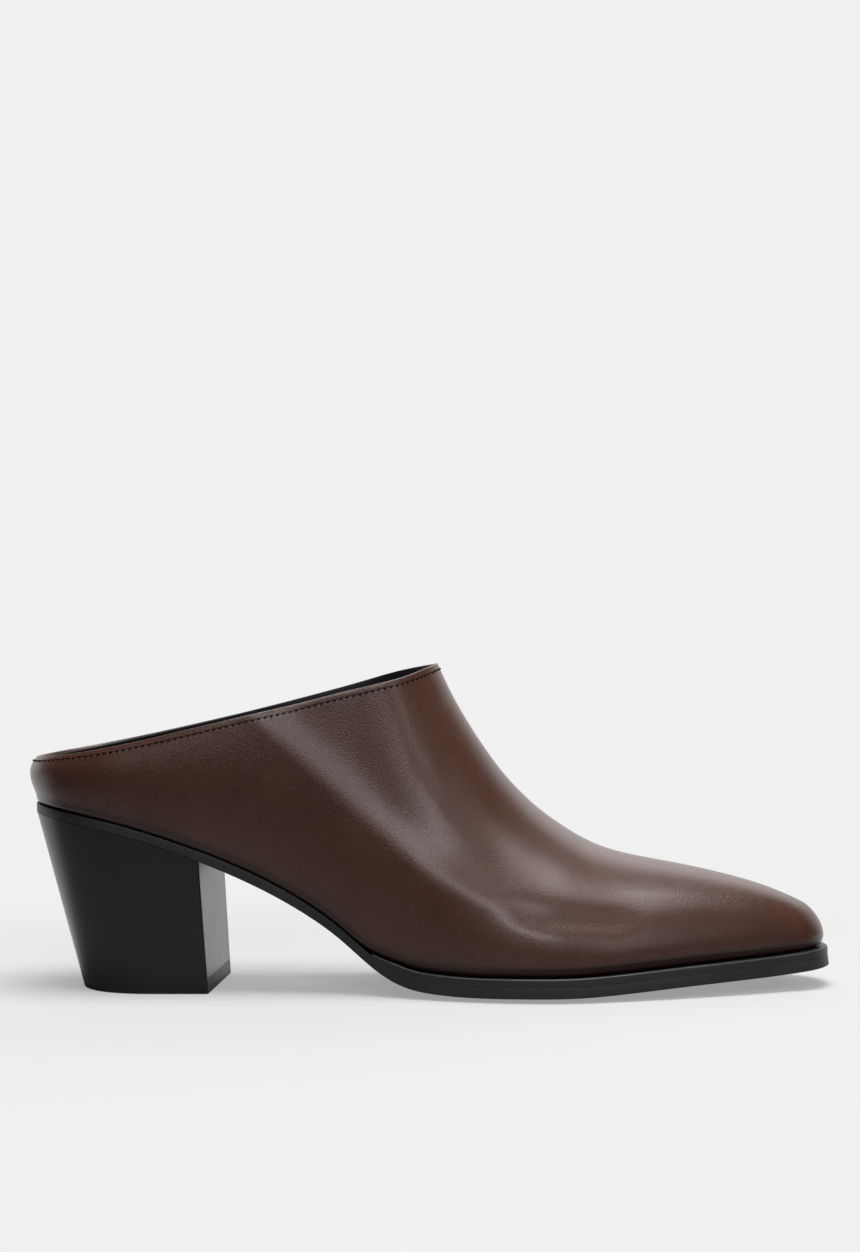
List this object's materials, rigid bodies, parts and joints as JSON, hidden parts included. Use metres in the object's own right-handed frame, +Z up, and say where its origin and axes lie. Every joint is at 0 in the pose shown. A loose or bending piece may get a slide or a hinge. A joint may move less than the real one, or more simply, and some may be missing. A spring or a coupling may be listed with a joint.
{
  "type": "block heel mule",
  "caption": "Pointed leather mule for the right foot with a closed vamp, a low rim round the heel and a slanted block heel.",
  "frame": {"origin": "centre of the flat underside of the top lift, on the floor", "axes": "+X from heel to toe, +Y to the inner side of the right foot, +Z up"},
  "size_m": [0.2631, 0.0854, 0.1055],
  "materials": {
    "upper_leather": "smooth brown calf, softly polished",
    "sock_leather": "matt black lining leather",
    "welt_leather": "black, inked and waxed edge",
    "sole_rubber": "matt black",
    "heel_stack": "black painted stack, satin",
    "lift_rubber": "matt black"
  },
  "bodies": {
    "root": {"upper": "upper_leather", "insole": "sock_leather", "welt": "welt_leather", "outsole": "sole_rubber", "heel": "heel_stack", "top_lift": "lift_rubber"}
  },
  "joints": []
}
